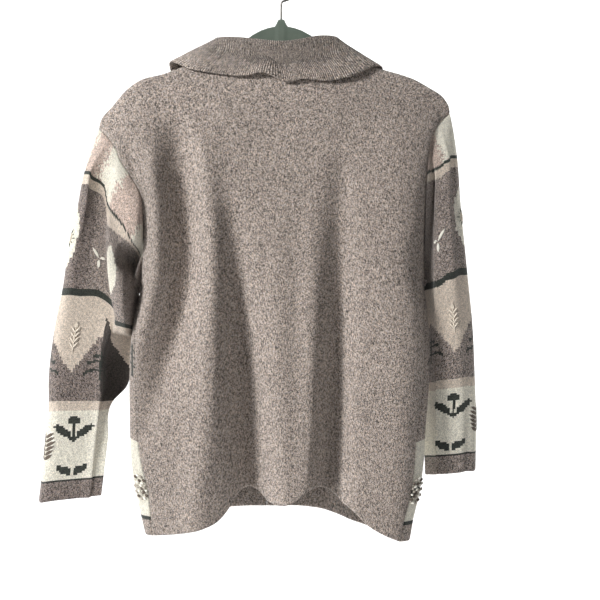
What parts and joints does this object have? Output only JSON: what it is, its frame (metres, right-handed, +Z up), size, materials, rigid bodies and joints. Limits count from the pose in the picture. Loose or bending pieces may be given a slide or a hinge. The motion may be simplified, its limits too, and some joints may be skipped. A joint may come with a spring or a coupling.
{
  "type": "knitted cardigan sweater on a hanger",
  "caption": "Knitted cardigan with a fold-over collar, long banded sleeves and a buttoned front, hanging open at hem and cuffs from a slim arched hanger.",
  "frame": {"origin": "top of the inside of the hanger's hook, where the rod that carries it touches", "axes": "+Z up; the garment's back faces -Y and its front +Y; +X is the wearer's right"},
  "size_m": [0.6067, 0.1229, 0.78],
  "materials": {
    "knit_plain": "taupe-brown marled jersey knit",
    "knit_banded": "jersey knit in taupe, beige and cream bands",
    "button": "dark brown, slightly polished",
    "hanger": "dark grey-green, slightly velvety",
    "hook": "bright wire"
  },
  "bodies": {
    "root": {"back": "knit_plain", "front_left": "knit_plain", "front_right": "knit_plain", "collar": "knit_plain", "band_left": "knit_plain", "band_right": "knit_plain", "sleeve_left": "knit_banded", "sleeve_right": "knit_banded", "button_1": "button", "button_2": "button", "button_3": "button", "button_4": "button", "button_5": "button", "hanger_bar": "hanger", "hanger_hook": "hook"}
  },
  "joints": []
}
